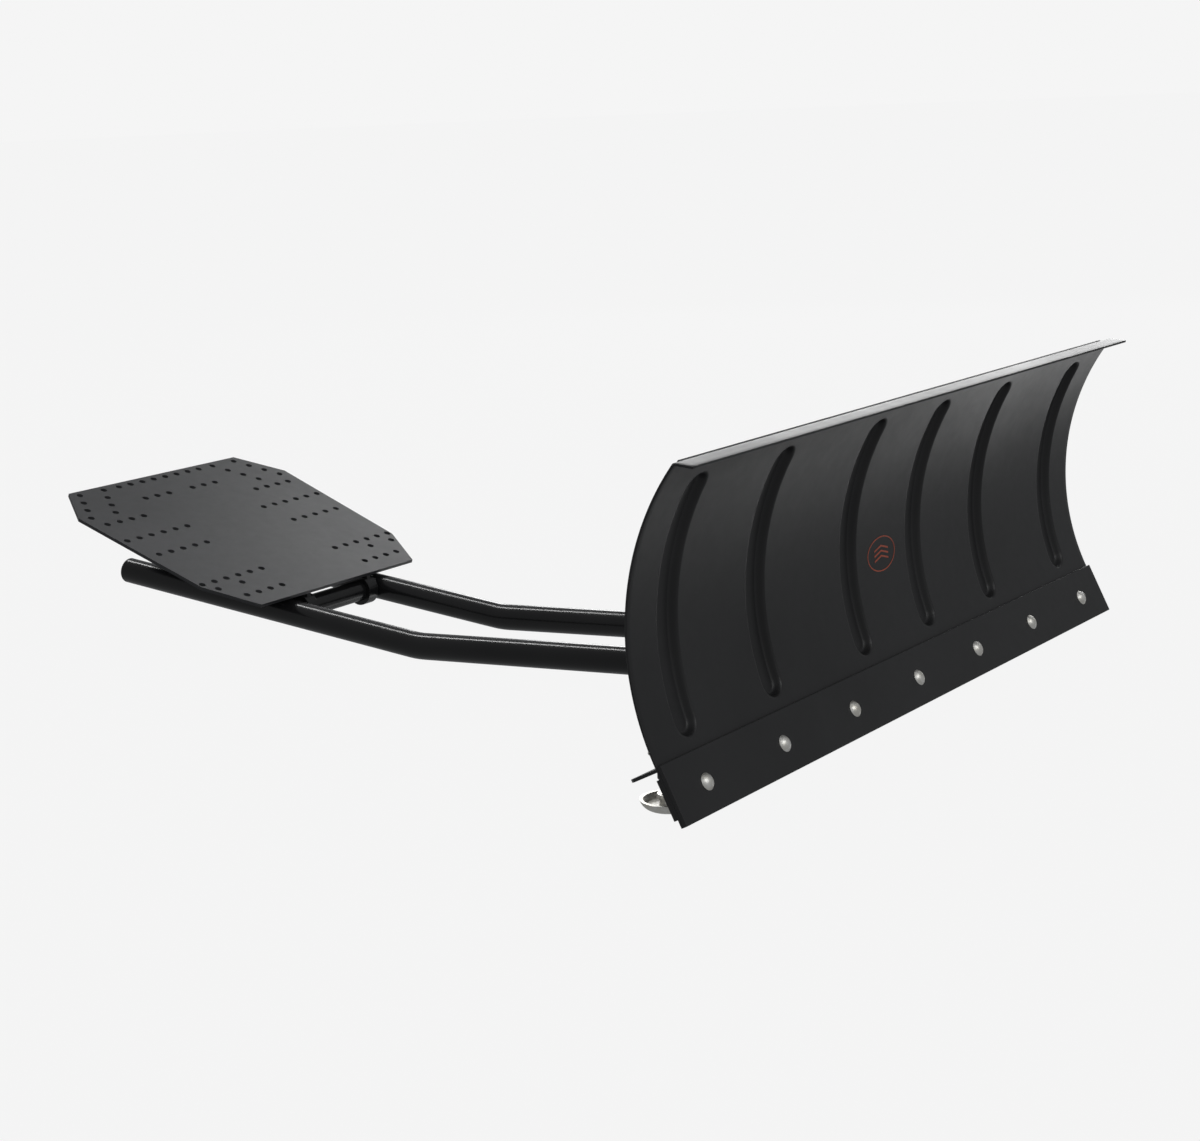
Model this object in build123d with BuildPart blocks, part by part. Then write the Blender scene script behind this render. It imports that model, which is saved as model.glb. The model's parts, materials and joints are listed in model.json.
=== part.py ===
from build123d import *
from math import atan2, cos, degrees, radians, sin, tan
import os

# Straight snow blade for an all-terrain vehicle. X runs across the blade, +Y to the rear, +Z up.
# The origin is on the ground, under the middle of the whole plow. All sizes are in millimetres.

# ---- blade ----
blade_length = 1143.0
sheet_t = 3.0
wear_height = 72.0
wear_t = 5.0
wear_lean = 26.4
mould_radius = 311.0
roll_steps = 32
mould_sweep = 65.0
lip_width = 24.0
lip_dip = 5.0
groove_centres = [-492.0, -305.0, -83.0, 89.0, 270.0, 491.0]
groove_width = 42.0
groove_floor = 26.0
groove_depth = 9.0
groove_gap_low = 14.0
groove_gap_high = 25.0
backing_t = 5.0
backing_height = 48.0
backing_lift = 10.0
top_rail_t = 5.0
top_rail_width = 18.0
top_rail_drop = 2.0
top_rail_inset = 20.0

# ---- wear bar bolts, M10 carriage bolts ----
wear_bolt_count = 7
wear_bolt_pitch = 168.0
wear_bolt_up = 34.0
bolt_r = 5.0
bolt_head_r = 10.3
bolt_head_h = 5.5
bolt_neck = 10.0
bolt_hole_r = 5.5
neck_hole_gap = 0.4
nut_flats = 17.0
nut_h = 8.0
washer_r = 10.0
washer_t = 2.0
thread_gap = 0.05
bolt_tail = 4.0

# ---- skid shoes ----
skid_x = 515.0
skid_set_back = 58.7
skid_dish_r = 34.0
skid_dish_h = 12.0
skid_dish_wall = 5.0
skid_stem_r = 8.0
skid_stem_top = 76.0
skid_washer_r = 14.0
skid_washer_t = 3.0
skid_washers = 2
sleeve_r = 13.0
sleeve_low = 35.0
sleeve_high = 63.0
bracket_up = 66.0
bracket_depth = 46.0
bracket_t = 4.0
bracket_width = 100.0
bracket_corner = 12.0
skid_rim = 4.0
skid_shoulder_r = 11.0
lynch_z = 69.5
lynch_r = 3.0
lynch_length = 28.0
lynch_ring_r = 9.0
lynch_wire_r = 1.5

# ---- trip hinge between the blade and the swivel frame ----
rib_x = 140.0
rib_t = 6.0
rib_top_angle = 45.0
rib_top_y = 100.0
trip_y = 92.0
trip_z = 62.0
trip_boss_r = 16.0
trip_pin_r = 8.0
trip_pin_head_r = 12.0
trip_pin_head_t = 4.0
trip_pin_tail = 8.0
ear_t = 6.0
ear_gap = 0.5
clip_t = 3.0
clip_r = 13.0

# ---- swivel frame ----
crossbar_y = 133.0
crossbar_depth = 30.0
crossbar_height = 40.0
crossbar_wall = 4.0
crossbar_length = 312.0
king_y = 185.0
king_r = 10.0
boss_r = 25.0
swivel_plate_t = 8.0
swivel_angle = 25.0
slot_radius = 82.0
slot_half_angle = swivel_angle + 1.0
sector_half_angle = 40.0
sector_margin = 22.0
swivel_neck = 90.0

# ---- trip springs ----
spring_x = 115.0
spring_r = 12.0
spring_wire_r = 2.0
spring_low_y = 135.0
spring_low_z = 90.0
spring_high_y = 84.0
spring_high_z = 312.0
spring_bar_z = 334.0
spring_bar_t = 6.0
spring_bar_front = 66.0
spring_lug_t = 6.0
spring_hole_r = 5.0
spring_hook = 16.0
eye_r = 4.0
eye_ring_r = 8.0
eye_nut_flats = 13.0
eye_nut_h = 6.5

# ---- head of the push frame ----
head_y = 300.0
head_t = 8.0
head_width = 250.0
head_height = 62.0
jaw_t = 8.0
jaw_gap = 28.0
jaw_nose_r = 33.0
jaw_half_width = 110.0
clamp_r = 8.0
clamp_gap = 0.5
clamp_hub_r = 13.0
clamp_hub_h = 18.0
clamp_lever_length = 62.0
clamp_lever_r = 4.0
clamp_knob_r = 9.0
lift_lug_t = 10.0
lift_lug_r = 22.0
lift_eye_r = 12.0
lift_eye_rise = 24.0
jaw_shoulder = 30.0
king_head_r = 15.0
king_head_h = 10.0
king_nut_h = 14.0
clamp_head_r = 12.0
clamp_head_h = 9.0
clamp_lever_rise = 18.0

# ---- push tubes ----
tube_r = 19.05
tube_wall = 3.0
tube_x = 99.0
tube_bend_y = 755.0
tube_bend_r = 150.0
tube_front_slope = 2.9
tube_rear_slope = 6.0
tube_rear_y = 1325.0
cross_tube_r = 15.875
cross_tube_wall = 3.0
cross_tube_y = 1000.0
rear_cross_y = 1285.0
cap_t = 3.0
cap_depth = 15.0

# ---- mounting plate ----
plate_front_y = 984.8
plate_front_z = 72.1
plate_tilt = 20.25
plate_t = 5.0
plate_length = 400.0
plate_half_front = 172.0
plate_half_wide_front = 215.0
plate_half_wide_rear = 226.0
plate_half_rear = 180.0
plate_wide_front = 80.0
plate_wide_rear = 327.0
plate_hole_r = 5.2
hole_pitch = 25.0
hinge_x = 68.0
hinge_sleeve_length = 20.0
hinge_sleeve_r = 22.5
hinge_web_t = 8.0
hinge_web_length = 68.0
hinge_web_inset = 1.0
hinge_web_lip = 6.0
running_gap = 0.08

# Rows of holes across the plate: distance back from its front edge, outermost hole, holes a side.
plate_rows = [
    (32.0, 169.0, 4),
    (85.0, 208.0, 6),
    (186.0, 197.0, 5),
    (240.0, 210.0, 6),
    (294.0, 199.0, 4),
    (340.0, 76.0, 3),
    (388.0, 87.5, 4),
]
# Loose pairs of holes: distance back from the front edge and distance from the middle.
plate_pairs = [(65.0, 145.0), (65.0, 195.0)]
# Slanted rows: start of the row, its step and its number of holes.
plate_slants = [((388.0, 119.0), (-22.5, 12.8), 4), ((388.0, 168.0), (-22.5, 13.0), 4)]


# ---- places worked out from the sizes above ----
lean = radians(wear_lean)
dip = radians(lip_dip)
bend = radians(mould_sweep - wear_lean)
lip_turn = radians(90.0 + lip_dip) - bend
tilt = radians(plate_tilt)
edge_z = (wear_t + sheet_t) * sin(lean)


def from_edge(up, back):
    """Place up the wear bar and back from its front face, measured from the cutting edge."""
    return (up * sin(lean) + back * cos(lean), edge_z + up * cos(lean) - back * sin(lean))


arc_y, arc_z = from_edge(wear_height, wear_t - mould_radius)


def from_arc(angle, back):
    """Place on the curved part, angle degrees above its lower end and back behind its face."""
    turn = radians(angle - wear_lean)
    return (arc_y + (mould_radius + back) * cos(turn), arc_z + (mould_radius + back) * sin(turn))


lip_root = from_arc(mould_sweep, 0)
lip_tip = (lip_root[0] - lip_width * cos(dip), lip_root[1] - lip_width * sin(dip))
lip_tip_top = (lip_tip[0] - sheet_t * sin(dip), lip_tip[1] + sheet_t * cos(dip))


def around_bend(share):
    """Place on the outside of the lip's bend, from 0 at the rolled face to 1 at the lip."""
    turn = bend + lip_turn * share
    return (lip_root[0] + sheet_t * cos(turn), lip_root[1] + sheet_t * sin(turn))


plate_rear_y = plate_front_y + plate_length * cos(tilt) + plate_t * sin(tilt)

# The cutting edge's place, so that the plow's box is centred on the origin.
edge_y = -(lip_tip_top[0] + plate_rear_y) / 2


def yz(point):
    """A place measured from the cutting edge, in the plow's frame."""
    return (edge_y + point[0], point[1])


def yz_face(*points):
    """Closed outline in the upright plane that runs front to rear."""
    Polygon(*[yz(point) for point in points], align=None)


def cross_section(x):
    """Upright plane across the plow at x, drawn with Y to the right and Z up."""
    return Plane.YZ.offset(x)


def finish(part, name):
    part.label = name
    export_step(part, f"parts/{name}.step")


os.makedirs("parts", exist_ok=True)


# ---- wear bar bolts: one plane for each, on the wear bar's face, looking to the rear ----
def wear_plane(x, back):
    """Plane parallel with the wear bar, back behind its face, that looks to the rear."""
    y, z = yz(from_edge(wear_bolt_up, back))
    return Plane(origin=(x, y, z), x_dir=(1, 0, 0), z_dir=(0, cos(lean), -sin(lean)))


wear_bolt_xs = [(i - (wear_bolt_count - 1) / 2) * wear_bolt_pitch for i in range(wear_bolt_count)]
stack_t = wear_t + sheet_t + backing_t


# ---- mouldboard: flat lower strip, rolled face, bent top lip and pressed grooves ----
def groove_half_width(depth):
    """Half the width of a groove at a depth below the sheet's face."""
    return groove_width / 2 - (groove_width - groove_floor) / 2 * depth / groove_depth


def groove_body(x, start, stop, widen):
    """Solid that fills one groove between two depths: a rolled run with a round dish at each end."""
    first = degrees((groove_gap_low + groove_width / 2) / mould_radius)
    last = mould_sweep - degrees((groove_gap_high + groove_width / 2) / mould_radius)
    wide = groove_half_width(start) + widen
    narrow = groove_half_width(stop) + widen
    centre = Vector(x, *yz((arc_y, arc_z)))

    def radial(angle):
        turn = radians(angle - wear_lean)
        return Plane(origin=centre, x_dir=(1, 0, 0), z_dir=(0, -sin(turn), cos(turn)))

    with BuildPart() as body:
        with BuildSketch(radial(first)):
            with BuildLine():
                Polyline(
                    (-wide, mould_radius + start),
                    (wide, mould_radius + start),
                    (narrow, mould_radius + stop),
                    (-narrow, mould_radius + stop),
                    close=True,
                )
            make_face()
        revolve(axis=Axis(centre, (1, 0, 0)), revolution_arc=last - first)
        for angle, inwards in ((first, 1), (last, -1)):
            out = radial(angle).y_dir
            foot = centre + out * (mould_radius + start)
            with Locations(Plane(origin=foot, x_dir=radial(angle).z_dir * inwards, z_dir=out)):
                Cone(wide, narrow, stop - start, align=(Align.CENTER, Align.CENTER, Align.MIN))
    return body.part


def rolled_line(back):
    """Points up the rolled face, a distance behind its front."""
    return [yz(from_arc(mould_sweep * step / roll_steps, back)) for step in range(roll_steps + 1)]


slope = atan2(groove_depth, (groove_width - groove_floor) / 2)
groove_skin = sheet_t / sin(slope)

ridges = [groove_body(x, sheet_t / 2, groove_depth + sheet_t, groove_skin) for x in groove_centres]
hollows = [groove_body(x, -sheet_t, groove_depth, 0) for x in groove_centres]

with BuildPart() as mouldboard:
    with BuildSketch(Plane.YZ):
        with BuildLine():
            Line(yz(from_edge(0, wear_t)), yz(from_edge(wear_height, wear_t)))
            Spline(*rolled_line(0))
            Polyline(yz(lip_root), yz(lip_tip), yz(lip_tip_top), yz(around_bend(1)))
            ThreePointArc(yz(around_bend(1)), yz(around_bend(0.5)), yz(around_bend(0)))
            Spline(*rolled_line(sheet_t))
            Polyline(
                yz(from_edge(wear_height, wear_t + sheet_t)),
                yz(from_edge(0, wear_t + sheet_t)),
                yz(from_edge(0, wear_t)),
            )
        make_face()
    extrude(amount=blade_length / 2, both=True)
    add(ridges)
    add(hollows, mode=Mode.SUBTRACT)
    with Locations(*[wear_plane(x, wear_t + sheet_t / 2) for x in wear_bolt_xs]):
        Cylinder(bolt_hole_r, 2 * sheet_t, mode=Mode.SUBTRACT)
finish(mouldboard.part, "mouldboard")

with BuildPart() as wear_bar:
    with BuildSketch(Plane.YZ):
        yz_face(
            from_edge(0, 0),
            from_edge(wear_height, 0),
            from_edge(wear_height, wear_t),
            from_edge(0, wear_t),
        )
    extrude(amount=blade_length / 2, both=True)
    with Locations(*[wear_plane(x, wear_t / 2) for x in wear_bolt_xs]):
        Box(bolt_neck + neck_hole_gap, bolt_neck + neck_hole_gap, 2 * wear_t, mode=Mode.SUBTRACT)
finish(wear_bar.part, "wear_bar")

with BuildPart() as backing_bar:
    with BuildSketch(Plane.YZ):
        yz_face(
            from_edge(backing_lift, wear_t + sheet_t),
            from_edge(backing_lift + backing_height, wear_t + sheet_t),
            from_edge(backing_lift + backing_height, stack_t),
            from_edge(backing_lift, stack_t),
        )
    extrude(amount=blade_length / 2, both=True)
    with Locations(*[wear_plane(x, stack_t - backing_t / 2) for x in wear_bolt_xs]):
        Cylinder(bolt_hole_r, 2 * backing_t, mode=Mode.SUBTRACT)
finish(backing_bar.part, "backing_bar")

dome_r = (bolt_head_r**2 + bolt_head_h**2) / (2 * bolt_head_h)
dome_rise = dome_r - bolt_head_h
dome_half = atan2(bolt_head_r, dome_rise)

# Carriage bolt about its own axis: domed head below the plane, neck and shank above it.
with BuildPart() as carriage_bolt:
    with BuildSketch(Plane.XZ):
        with BuildLine():
            ThreePointArc(
                (bolt_head_r, 0),
                (dome_r * sin(dome_half / 2), dome_rise - dome_r * cos(dome_half / 2)),
                (0, -bolt_head_h),
            )
            Polyline((0, -bolt_head_h), (0, 0), (bolt_head_r, 0))
        make_face()
    revolve(axis=Axis.Z)
    Box(bolt_neck, bolt_neck, wear_t, align=(Align.CENTER, Align.CENTER, Align.MIN))
    Cylinder(
        bolt_r,
        stack_t + washer_t + nut_h + bolt_tail,
        align=(Align.CENTER, Align.CENTER, Align.MIN),
    )

with BuildPart() as wear_bolts:
    with Locations(*[wear_plane(x, 0) for x in wear_bolt_xs]):
        add(carriage_bolt.part)
finish(wear_bolts.part, "wear_bolts")


def washer(outer_r, inner_r, thickness):
    with BuildPart() as ring:
        with BuildSketch():
            Circle(outer_r)
            Circle(inner_r, mode=Mode.SUBTRACT)
        extrude(amount=thickness)
    return ring.part


def hex_nut(across_flats, inner_r, height):
    with BuildPart() as nut:
        with BuildSketch():
            RegularPolygon(across_flats / 2, 6, major_radius=False)
            Circle(inner_r, mode=Mode.SUBTRACT)
        extrude(amount=height)
    return nut.part


bolt_washer = washer(washer_r, bolt_r + thread_gap, washer_t)
with BuildPart() as wear_bolt_washers:
    with Locations(*[wear_plane(x, stack_t) for x in wear_bolt_xs]):
        add(bolt_washer)
finish(wear_bolt_washers.part, "wear_bolt_washers")

bolt_nut = hex_nut(nut_flats, bolt_r + thread_gap, nut_h)
with BuildPart() as wear_bolt_nuts:
    with Locations(*[wear_plane(x, stack_t + washer_t) for x in wear_bolt_xs]):
        add(bolt_nut)
finish(wear_bolt_nuts.part, "wear_bolt_nuts")

# Flat bar rolled to the sheet's back, just under the lip.
rail_last = mould_sweep - degrees(top_rail_drop / mould_radius)
rail_first = rail_last - degrees(top_rail_width / mould_radius)
with BuildPart() as top_rail:
    with BuildSketch(Plane.YZ):
        with BuildLine():
            ThreePointArc(
                yz(from_arc(rail_first, sheet_t)),
                yz(from_arc((rail_first + rail_last) / 2, sheet_t)),
                yz(from_arc(rail_last, sheet_t)),
            )
            Line(yz(from_arc(rail_last, sheet_t)), yz(from_arc(rail_last, sheet_t + top_rail_t)))
            ThreePointArc(
                yz(from_arc(rail_last, sheet_t + top_rail_t)),
                yz(from_arc((rail_first + rail_last) / 2, sheet_t + top_rail_t)),
                yz(from_arc(rail_first, sheet_t + top_rail_t)),
            )
            Line(yz(from_arc(rail_first, sheet_t + top_rail_t)), yz(from_arc(rail_first, sheet_t)))
        make_face()
    extrude(amount=blade_length / 2 - top_rail_inset, both=True)
finish(top_rail.part, "top_rail")




# ---- ribs on the back of the blade, which carry the trip hinge and the springs ----
def x_cylinder(x, y, z, radius, length, mode=Mode.ADD):
    """Cylinder along X, centred on x, at a place measured from the cutting edge."""
    with Locations((x, edge_y + y, z)):
        Cylinder(radius, length, rotation=(0, 90, 0), mode=mode)


rib_foot = from_edge(backing_lift + backing_height + 1.0, wear_t + sheet_t)
rib_crown = from_arc(rib_top_angle, sheet_t)
pin_span = rib_t + 2 * (ear_gap + ear_t)


def make_rib(side):
    with BuildPart() as rib:
        with BuildSketch(cross_section(side * rib_x)):
            with BuildLine():
                Line(yz(rib_foot), yz(from_edge(wear_height, wear_t + sheet_t)))
                ThreePointArc(
                    yz(from_edge(wear_height, wear_t + sheet_t)),
                    yz(from_arc(rib_top_angle / 2, sheet_t)),
                    yz(rib_crown),
                )
                Polyline(
                    yz(rib_crown),
                    yz((rib_top_y, spring_bar_z + 2 * spring_bar_t)),
                    yz((trip_y + trip_boss_r, trip_z)),
                    yz((trip_y, trip_z - trip_boss_r)),
                    yz(rib_foot),
                )
            make_face()
            with Locations(yz((trip_y, trip_z))):
                Circle(trip_boss_r)
                Circle(trip_pin_r + running_gap, mode=Mode.SUBTRACT)
        extrude(amount=rib_t / 2, both=True)
    return rib.part


for side, word in ((-1, "left"), (1, "right")):
    finish(make_rib(side), f"blade_rib_{word}")

# Flat bar between the ribs, with the eye bolts that hold the springs' upper ends.
bar_length = 2 * rib_x - rib_t
with BuildPart() as spring_bar:
    with Locations((0, edge_y + (spring_bar_front + rib_top_y) / 2 - 2.0, spring_bar_z)):
        Box(
            bar_length,
            rib_top_y - spring_bar_front - 4.0,
            spring_bar_t,
            align=(Align.CENTER, Align.CENTER, Align.MIN),
        )
    for side in (-1, 1):
        with Locations((side * spring_x, edge_y + spring_high_y, spring_bar_z)):
            Cylinder(eye_r + thread_gap, 4 * spring_bar_t, mode=Mode.SUBTRACT)
finish(spring_bar.part, "spring_bar")

with BuildPart() as spring_eye_bolts:
    for side in (-1, 1):
        with Locations((side * spring_x, edge_y + spring_high_y, spring_high_z + eye_ring_r)):
            Cylinder(
                eye_r,
                spring_bar_z - spring_high_z - eye_ring_r + spring_bar_t + eye_nut_h + bolt_tail,
                align=(Align.CENTER, Align.CENTER, Align.MIN),
            )
        with Locations((side * spring_x, edge_y + spring_high_y, spring_high_z)):
            Torus(eye_ring_r, eye_r * 0.8, rotation=(0, 90, 0))
finish(spring_eye_bolts.part, "spring_eye_bolts")

eye_nut = hex_nut(eye_nut_flats, eye_r + thread_gap, eye_nut_h)
with BuildPart() as spring_eye_nuts:
    for side in (-1, 1):
        with Locations((side * spring_x, edge_y + spring_high_y, spring_bar_z + spring_bar_t)):
            add(eye_nut)
finish(spring_eye_nuts.part, "spring_eye_nuts")

# ---- trip pins, along X through ear, rib and ear, with their heads towards the middle ----
with BuildPart() as trip_pins:
    for side in (-1, 1):
        inner = side * (rib_x - pin_span / 2)
        x_cylinder(
            side * (rib_x + trip_pin_tail / 2), trip_y, trip_z, trip_pin_r, pin_span + trip_pin_tail
        )
        x_cylinder(
            inner - side * trip_pin_head_t / 2, trip_y, trip_z, trip_pin_head_r, trip_pin_head_t
        )
finish(trip_pins.part, "trip_pins")

with BuildPart() as trip_pin_clips:
    for side in (-1, 1):
        clip_x = side * (rib_x + pin_span / 2 + clip_t)
        x_cylinder(clip_x, trip_y, trip_z, clip_r, clip_t)
        x_cylinder(clip_x, trip_y, trip_z, trip_pin_r + thread_gap, 2 * clip_t, Mode.SUBTRACT)
finish(trip_pin_clips.part, "trip_pin_clips")

# ---- heights of the push frame's head, set by the push tubes ----
front_run = tan(radians(tube_front_slope))
rear_run = tan(radians(tube_rear_slope))
half_turn = radians((tube_front_slope + tube_rear_slope) / 2)
bisector = radians(90.0 + (tube_rear_slope - tube_front_slope) / 2)
# The outside of the tubes' bend rests on the ground.
bend_z = tube_r + tube_bend_r - tube_bend_r / cos(half_turn) * sin(bisector)


def tube_axis_z(y):
    """Height of the push tubes' axis, y behind the cutting edge."""
    if y < tube_bend_y:
        return bend_z + (tube_bend_y - y) * front_run
    return bend_z + (y - tube_bend_y) * rear_run


head_rear_y = head_y + head_t
head_z = tube_axis_z(head_rear_y)
upper_jaw_z = head_z + jaw_gap / 2
lower_jaw_z = head_z - jaw_gap / 2 - jaw_t
crossbar_rear_y = crossbar_y + crossbar_depth / 2
crossbar_front_y = crossbar_y - crossbar_depth / 2
slot_y = king_y + slot_radius

# ---- swivel frame: crossbar, swivel plate with its king pin boss, ears and spring lugs ----
with BuildPart() as swivel_crossbar:
    with Locations((0, edge_y + crossbar_y, head_z)):
        Box(crossbar_length, crossbar_depth, crossbar_height)
        Box(
            2 * crossbar_length,
            crossbar_depth - 2 * crossbar_wall,
            crossbar_height - 2 * crossbar_wall,
            mode=Mode.SUBTRACT,
        )
finish(swivel_crossbar.part, "swivel_crossbar")

with BuildPart() as swivel_plate:
    with BuildSketch(Plane.XY.offset(head_z - swivel_plate_t / 2)):
        with Locations((0, edge_y + king_y)):
            Circle(slot_radius + sector_margin)
        # Two cuts leave the sector behind the king pin.
        for side in (-1, 1):
            spread = radians(sector_half_angle)
            far = 4 * slot_radius
            with BuildLine():
                Polyline(
                    (0, edge_y + king_y),
                    (side * far * sin(spread), edge_y + king_y + far * cos(spread)),
                    (side * far, edge_y + king_y - far),
                    (0, edge_y + king_y - far),
                    close=True,
                )
            make_face(mode=Mode.SUBTRACT)
        with Locations((0, edge_y + (crossbar_rear_y + king_y) / 2)):
            Rectangle(swivel_neck, king_y - crossbar_rear_y)
        with Locations((0, edge_y + king_y)):
            Circle(king_y - crossbar_rear_y)
            Circle(boss_r - 1.0, mode=Mode.SUBTRACT)
        SlotArc(
            Edge.make_circle(
                slot_radius,
                Plane((0, edge_y + king_y, 0)),
                90 - slot_half_angle,
                90 + slot_half_angle,
            ),
            2 * (clamp_r + clamp_gap),
            mode=Mode.SUBTRACT,
        )
    extrude(amount=swivel_plate_t)
    with Locations((0, edge_y + king_y, head_z)):
        Cylinder(boss_r, jaw_gap - 2 * ear_gap)
        Cylinder(king_r + running_gap, jaw_gap, mode=Mode.SUBTRACT)
finish(swivel_plate.part, "swivel_plate")


def make_ear(x):
    with BuildPart() as ear:
        with BuildSketch(cross_section(x)):
            with Locations(yz((trip_y, trip_z))):
                Circle(trip_boss_r)
            yz_face(
                (trip_y, trip_z + trip_boss_r),
                (crossbar_front_y, trip_z + trip_boss_r * 0.2),
                (crossbar_front_y, head_z - crossbar_height / 4),
                (trip_y - trip_boss_r * 0.8, trip_z - trip_boss_r * 0.6),
            )
            with Locations(yz((trip_y, trip_z))):
                Circle(trip_pin_r + thread_gap, mode=Mode.SUBTRACT)
        extrude(amount=ear_t / 2, both=True)
    return ear.part


ear_offset = rib_t / 2 + ear_gap + ear_t / 2
for side, word in ((-1, "left"), (1, "right")):
    pair = [make_ear(side * rib_x + step * ear_offset) for step in (-1, 1)]
    finish(Compound(children=pair), f"trip_ears_{word}")

with BuildPart() as spring_lugs:
    for side in (-1, 1):
        with BuildSketch(cross_section(side * spring_x)):
            yz_face(
                (crossbar_front_y + 1.0, head_z + crossbar_height / 2),
                (crossbar_rear_y, head_z + crossbar_height / 2),
                (spring_low_y + spring_hole_r * 2.4, spring_low_z + spring_hole_r),
                (spring_low_y, spring_low_z + spring_hole_r * 2.4),
                (spring_low_y - spring_hole_r * 2.4, spring_low_z),
            )
            with Locations(yz((spring_low_y, spring_low_z))):
                Circle(spring_hole_r, mode=Mode.SUBTRACT)
        extrude(amount=spring_lug_t / 2, both=True)
finish(spring_lugs.part, "spring_lugs")


# ---- head of the push frame: end plate, two jaws round the swivel plate, lift lug ----
with BuildPart() as head_plate:
    with Locations((0, edge_y + head_y + head_t / 2, head_z)):
        Box(head_width, head_t, head_height)
finish(head_plate.part, "head_plate")


def make_jaw(bottom_z):
    with BuildPart() as jaw:
        with BuildSketch(Plane.XY.offset(bottom_z)):
            nose = jaw_nose_r * 0.9
            Polygon(
                (-nose, edge_y + king_y - jaw_nose_r * 0.3),
                (nose, edge_y + king_y - jaw_nose_r * 0.3),
                (jaw_half_width, edge_y + head_y - jaw_shoulder),
                (jaw_half_width, edge_y + head_y),
                (-jaw_half_width, edge_y + head_y),
                (-jaw_half_width, edge_y + head_y - jaw_shoulder),
                align=None,
            )
            with Locations((0, edge_y + king_y)):
                Circle(jaw_nose_r)
                Circle(king_r + running_gap, mode=Mode.SUBTRACT)
            with Locations((0, edge_y + slot_y)):
                Circle(clamp_r + running_gap, mode=Mode.SUBTRACT)
        extrude(amount=jaw_t)
    return jaw.part


finish(make_jaw(upper_jaw_z), "upper_jaw")
finish(make_jaw(lower_jaw_z), "lower_jaw")

jaw_top_z = upper_jaw_z + jaw_t
lug_root_z = head_z + head_height / 2
lug_centre_y = head_y + head_t / 2
with BuildPart() as lift_lug:
    with BuildSketch(Plane.YZ):
        with Locations(yz((lug_centre_y, lug_root_z + lift_eye_rise))):
            Circle(lift_lug_r)
        yz_face(
            (lug_centre_y - lift_lug_r, lug_root_z + lift_eye_rise),
            (lug_centre_y - head_t / 2, lug_root_z),
            (lug_centre_y + head_t / 2, lug_root_z),
            (lug_centre_y + lift_lug_r, lug_root_z + lift_eye_rise),
        )
        with Locations(yz((lug_centre_y, lug_root_z + lift_eye_rise))):
            Circle(lift_eye_r, mode=Mode.SUBTRACT)
    extrude(amount=lift_lug_t / 2, both=True)
finish(lift_lug.part, "lift_lug")


def upright_bolt(y, radius, head_z_low, head_r, head_h, shank_top):
    """Bolt along Z with a hexagon head underneath, y behind the cutting edge."""
    with BuildPart() as bolt:
        with BuildSketch(Plane.XY.offset(head_z_low)):
            with Locations((0, edge_y + y)):
                RegularPolygon(head_r, 6, major_radius=False)
        extrude(amount=head_h)
        with Locations((0, edge_y + y, head_z_low + head_h)):
            Cylinder(
                radius,
                shank_top - head_z_low - head_h,
                align=(Align.CENTER, Align.CENTER, Align.MIN),
            )
    return bolt.part


king_pin = upright_bolt(
    king_y,
    king_r,
    lower_jaw_z - king_head_h,
    king_head_r,
    king_head_h,
    jaw_top_z + washer_t + king_nut_h + bolt_tail,
)
finish(king_pin, "king_pin")

king_washer_body = washer(king_head_r + 2.0, king_r + thread_gap, washer_t)
king_nut_body = hex_nut(2 * king_head_r, king_r + thread_gap, king_nut_h)
with BuildPart() as king_pin_nut:
    with Locations((0, edge_y + king_y, jaw_top_z)):
        add(king_washer_body)
    with Locations((0, edge_y + king_y, jaw_top_z + washer_t)):
        add(king_nut_body)
finish(king_pin_nut.part, "king_pin_nut")

clamp_bolt = upright_bolt(
    slot_y,
    clamp_r,
    lower_jaw_z - clamp_head_h,
    clamp_head_r,
    clamp_head_h,
    jaw_top_z + clamp_hub_h + bolt_tail,
)
finish(clamp_bolt, "clamp_bolt")

lever_aim = Vector(-clamp_lever_length, 0, clamp_lever_rise)
lever_root = Vector(0, edge_y + slot_y, jaw_top_z + clamp_hub_h / 2)
lever_tip = lever_root + lever_aim
lever_start = lever_root + lever_aim.normalized() * (clamp_r + clamp_hub_r) / 2
with BuildPart() as clamp_lever:
    with BuildSketch(Plane.XY.offset(jaw_top_z + running_gap)):
        with Locations((0, edge_y + slot_y)):
            Circle(clamp_hub_r)
            Circle(clamp_r + running_gap, mode=Mode.SUBTRACT)
    extrude(amount=clamp_hub_h)
    with Locations(Plane(origin=lever_start, x_dir=(0, 1, 0), z_dir=lever_aim)):
        Cylinder(
            clamp_lever_r,
            (lever_tip - lever_start).length,
            align=(Align.CENTER, Align.CENTER, Align.MIN),
        )
    with Locations(Plane(lever_tip, x_dir=(-1, 0, 0))):
        Sphere(clamp_knob_r)
finish(clamp_lever.part, "clamp_lever")


# ---- push tubes, cross tubes and end caps ----
def tube_path(x):
    """The two straight legs of a push tube and the bend between them."""
    front = head_rear_y - 2 * tube_r
    return FilletPolyline(
        (x, edge_y + front, tube_axis_z(front)),
        (x, edge_y + tube_bend_y, bend_z),
        (x, edge_y + tube_rear_y, tube_axis_z(tube_rear_y)),
        radius=tube_bend_r,
    )


def make_tube(x, hollow):
    with BuildPart() as tube:
        with BuildLine():
            path = tube_path(x)
        with BuildSketch(Plane(origin=path @ 0, x_dir=(1, 0, 0), z_dir=path % 0)):
            Circle(tube_r)
            if hollow:
                Circle(tube_r - tube_wall, mode=Mode.SUBTRACT)
        sweep(path=path)
        split(bisect_by=Plane.XZ.offset(-edge_y - head_rear_y), keep=Keep.BOTTOM)
    return tube.part


cores = [make_tube(side * tube_x, False) for side in (-1, 1)]
for side, word in ((-1, "left"), (1, "right")):
    finish(make_tube(side * tube_x, True), f"push_tube_{word}")


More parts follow.
